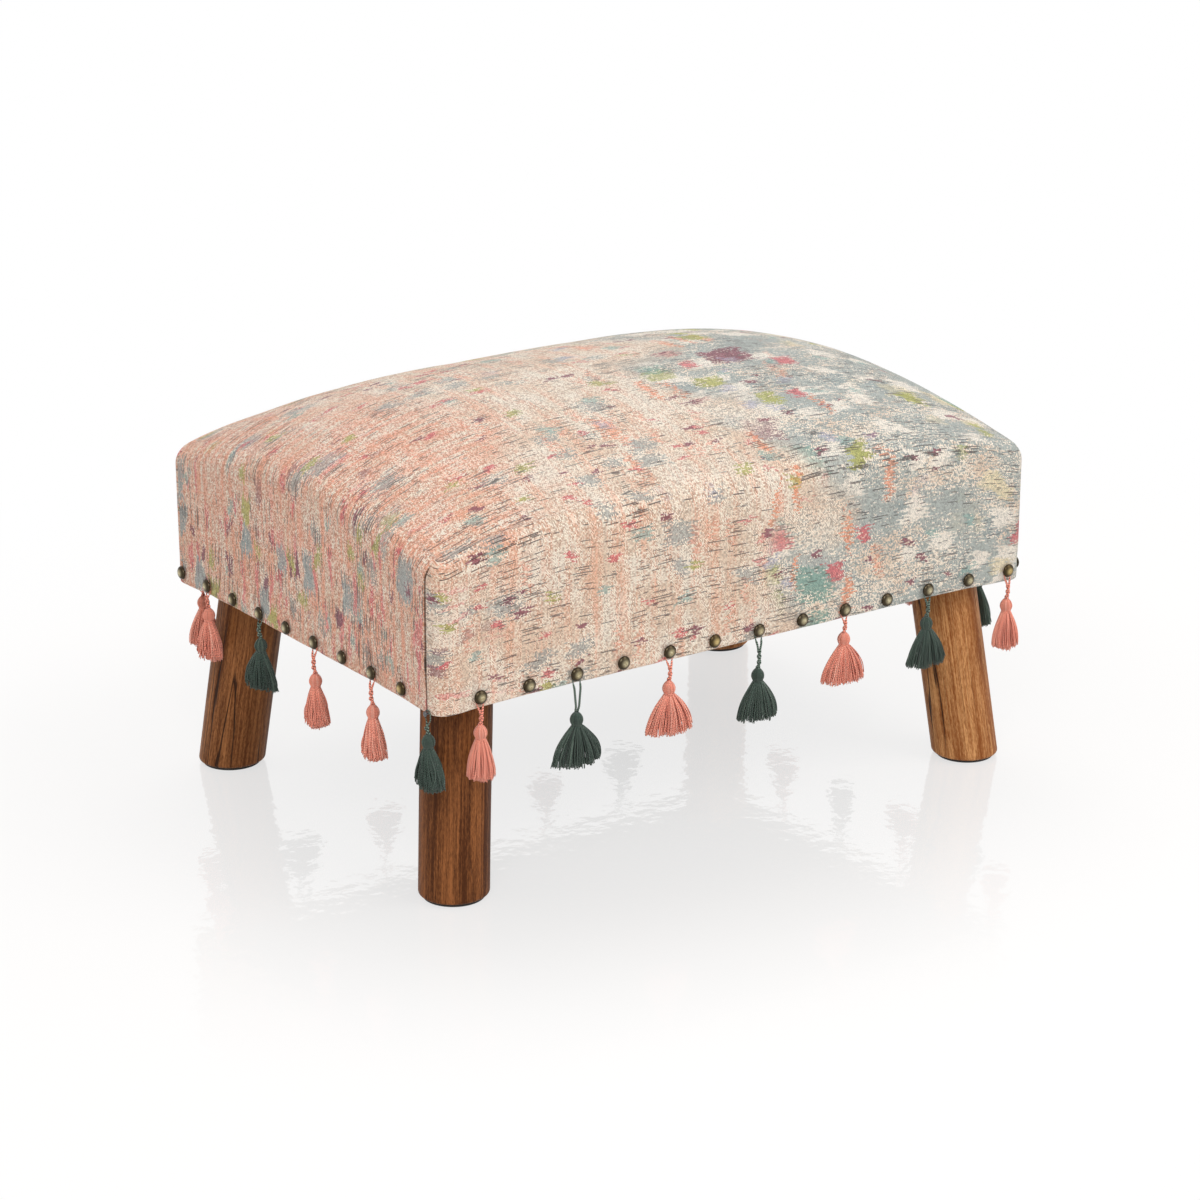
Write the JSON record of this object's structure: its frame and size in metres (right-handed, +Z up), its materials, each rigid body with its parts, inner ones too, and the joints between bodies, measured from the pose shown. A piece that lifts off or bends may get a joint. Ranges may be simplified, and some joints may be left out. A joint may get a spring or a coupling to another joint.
{
  "type": "footstool",
  "caption": "Upholstered rectangular footstool with a crowned top on splayed round wooden legs, with round-head nails and free-hanging yarn tassels along its hem.",
  "frame": {"origin": "on the floor, under the middle of the stool", "axes": "+X along the stool's long side, +Y across it, towards the back, +Z up"},
  "size_m": [0.622, 0.442, 0.36],
  "materials": {
    "cover_cloth": "coarse plain weave with slubs, matt, printed with a faded many-coloured pattern on cream",
    "batting": "soft white polyester batting",
    "foam": "open-cell cut foam, pale yellow",
    "plywood": "raw birch-faced plywood",
    "softwood": "raw sawn pine",
    "leg_wood": "warm brown streaky acacia, satin oiled",
    "zinc_steel": "zinc-plated steel",
    "antique_brass": "antiqued brass, from dark bronze to worn gold",
    "pad_rubber": "matt dark rubber",
    "dust_cloth": "thin black non-woven cloth",
    "pink_yarn": "matt twisted cotton yarn, coral pink",
    "green_yarn": "matt twisted cotton yarn, dark green"
  },
  "bodies": {
    "stool": {"cover": "cover_cloth", "batting": "batting", "foam_block": "foam", "deck": "plywood", "rail_front": "softwood", "rail_back": "softwood", "rail_left": "softwood", "rail_right": "softwood", "corner_block_front_left": "softwood", "hanger_bolt_front_left": "zinc_steel", "leg_front_left": "leg_wood", "foot_pad_front_left": "pad_rubber", "corner_block_front_right": "softwood", "hanger_bolt_front_right": "zinc_steel", "leg_front_right": "leg_wood", "foot_pad_front_right": "pad_rubber", "corner_block_back_right": "softwood", "hanger_bolt_back_right": "zinc_steel", "leg_back_right": "leg_wood", "foot_pad_back_right": "pad_rubber", "corner_block_back_left": "softwood", "hanger_bolt_back_left": "zinc_steel", "leg_back_left": "leg_wood", "foot_pad_back_left": "pad_rubber", "dust_cover": "dust_cloth", "nail_row_front": "antique_brass", "nail_row_right": "antique_brass", "nail_row_back": "antique_brass", "nail_row_left": "antique_brass", "corner_tack": "zinc_steel"},
    "tassel_front_1": {"tassel_front_1": "pink_yarn"},
    "tassel_front_2": {"tassel_front_2": "green_yarn"},
    "tassel_front_3": {"tassel_front_3": "pink_yarn"},
    "tassel_front_4": {"tassel_front_4": "green_yarn"},
    "tassel_front_5": {"tassel_front_5": "pink_yarn"},
    "tassel_front_6": {"tassel_front_6": "green_yarn"},
    "tassel_front_7": {"tassel_front_7": "pink_yarn"},
    "tassel_right_1": {"tassel_right_1": "green_yarn"},
    "tassel_right_2": {"tassel_right_2": "pink_yarn"},
    "tassel_right_3": {"tassel_right_3": "green_yarn"},
    "tassel_right_4": {"tassel_right_4": "pink_yarn"},
    "tassel_back_1": {"tassel_back_1": "pink_yarn"},
    "tassel_back_2": {"tassel_back_2": "green_yarn"},
    "tassel_back_3": {"tassel_back_3": "pink_yarn"},
    "tassel_back_4": {"tassel_back_4": "green_yarn"},
    "tassel_back_5": {"tassel_back_5": "pink_yarn"},
    "tassel_back_6": {"tassel_back_6": "green_yarn"},
    "tassel_back_7": {"tassel_back_7": "pink_yarn"},
    "tassel_left_1": {"tassel_left_1": "pink_yarn"},
    "tassel_left_2": {"tassel_left_2": "green_yarn"},
    "tassel_left_3": {"tassel_left_3": "pink_yarn"},
    "tassel_left_4": {"tassel_left_4": "pink_yarn"},
    "tassel_corner": {"tassel_corner": "green_yarn"}
  },
  "joints": [
    {"name": "tassel_front_1_swing", "type": "hinge", "parent": "stool", "child": "tassel_front_1", "pos_m": [-0.262, -0.21095, 0.1755], "axis": [0, -1, 0], "range_deg": [-15, 45]},
    {"name": "tassel_front_2_swing", "type": "hinge", "parent": "stool", "child": "tassel_front_2", "pos_m": [-0.1715, -0.21095, 0.1755], "axis": [0, -1, 0], "range_deg": [-45, 45]},
    {"name": "tassel_front_3_swing", "type": "hinge", "parent": "stool", "child": "tassel_front_3", "pos_m": [-0.081, -0.21095, 0.1755], "axis": [0, -1, 0], "range_deg": [-45, 45]},
    {"name": "tassel_front_4_swing", "type": "hinge", "parent": "stool", "child": "tassel_front_4", "pos_m": [0.0095, -0.21095, 0.1755], "axis": [0, -1, 0], "range_deg": [-45, 45]},
    {"name": "tassel_front_5_swing", "type": "hinge", "parent": "stool", "child": "tassel_front_5", "pos_m": [0.1, -0.21095, 0.1755], "axis": [0, -1, 0], "range_deg": [-45, 45]},
    {"name": "tassel_front_6_swing", "type": "hinge", "parent": "stool", "child": "tassel_front_6", "pos_m": [0.1905, -0.21095, 0.1755], "axis": [0, -1, 0], "range_deg": [-45, 45]},
    {"name": "tassel_front_7_swing", "type": "hinge", "parent": "stool", "child": "tassel_front_7", "pos_m": [0.281, -0.21095, 0.1755], "axis": [0, -1, 0], "range_deg": [-45, 45]},
    {"name": "tassel_right_1_swing", "type": "hinge", "parent": "stool", "child": "tassel_right_1", "pos_m": [0.30095, -0.15125, 0.1755], "axis": [1, 0, 0], "range_deg": [-45, 45]},
    {"name": "tassel_right_2_swing", "type": "hinge", "parent": "stool", "child": "tassel_right_2", "pos_m": [0.30095, -0.06175, 0.1755], "axis": [1, 0, 0], "range_deg": [-45, 45]},
    {"name": "tassel_right_3_swing", "type": "hinge", "parent": "stool", "child": "tassel_right_3", "pos_m": [0.30095, 0.02775, 0.1755], "axis": [1, 0, 0], "range_deg": [-45, 45]},
    {"name": "tassel_right_4_swing", "type": "hinge", "parent": "stool", "child": "tassel_right_4", "pos_m": [0.30095, 0.11725, 0.1755], "axis": [1, 0, 0], "range_deg": [-45, 45]},
    {"name": "tassel_back_1_swing", "type": "hinge", "parent": "stool", "child": "tassel_back_1", "pos_m": [0.267, 0.21095, 0.1755], "axis": [0, 1, 0], "range_deg": [-45, 45]},
    {"name": "tassel_back_2_swing", "type": "hinge", "parent": "stool", "child": "tassel_back_2", "pos_m": [0.177, 0.21095, 0.1755], "axis": [0, 1, 0], "range_deg": [-45, 45]},
    {"name": "tassel_back_3_swing", "type": "hinge", "parent": "stool", "child": "tassel_back_3", "pos_m": [0.087, 0.21095, 0.1755], "axis": [0, 1, 0], "range_deg": [-45, 45]},
    {"name": "tassel_back_4_swing", "type": "hinge", "parent": "stool", "child": "tassel_back_4", "pos_m": [-0.003, 0.21095, 0.1755], "axis": [0, 1, 0], "range_deg": [-45, 45]},
    {"name": "tassel_back_5_swing", "type": "hinge", "parent": "stool", "child": "tassel_back_5", "pos_m": [-0.093, 0.21095, 0.1755], "axis": [0, 1, 0], "range_deg": [-45, 45]},
    {"name": "tassel_back_6_swing", "type": "hinge", "parent": "stool", "child": "tassel_back_6", "pos_m": [-0.183, 0.21095, 0.1755], "axis": [0, 1, 0], "range_deg": [-45, 45]},
    {"name": "tassel_back_7_swing", "type": "hinge", "parent": "stool", "child": "tassel_back_7", "pos_m": [-0.273, 0.21095, 0.1755], "axis": [0, 1, 0], "range_deg": [-45, 45]},
    {"name": "tassel_left_1_swing", "type": "hinge", "parent": "stool", "child": "tassel_left_1", "pos_m": [-0.30095, 0.14975, 0.1755], "axis": [-1, 0, 0], "range_deg": [-45, 45]},
    {"name": "tassel_left_2_swing", "type": "hinge", "parent": "stool", "child": "tassel_left_2", "pos_m": [-0.30095, 0.06125, 0.1755], "axis": [-1, 0, 0], "range_deg": [-45, 45]},
    {"name": "tassel_left_3_swing", "type": "hinge", "parent": "stool", "child": "tassel_left_3", "pos_m": [-0.30095, -0.02725, 0.1755], "axis": [-1, 0, 0], "range_deg": [-45, 45]},
    {"name": "tassel_left_4_swing", "type": "hinge", "parent": "stool", "child": "tassel_left_4", "pos_m": [-0.30095, -0.11575, 0.1755], "axis": [-1, 0, 0], "range_deg": [-45, 45]},
    {"name": "tassel_corner_swing", "type": "hinge", "parent": "stool", "child": "tassel_corner", "pos_m": [-0.30095, -0.197, 0.166], "axis": [-1, 0, 0], "range_deg": [-45, 45]}
  ]
}
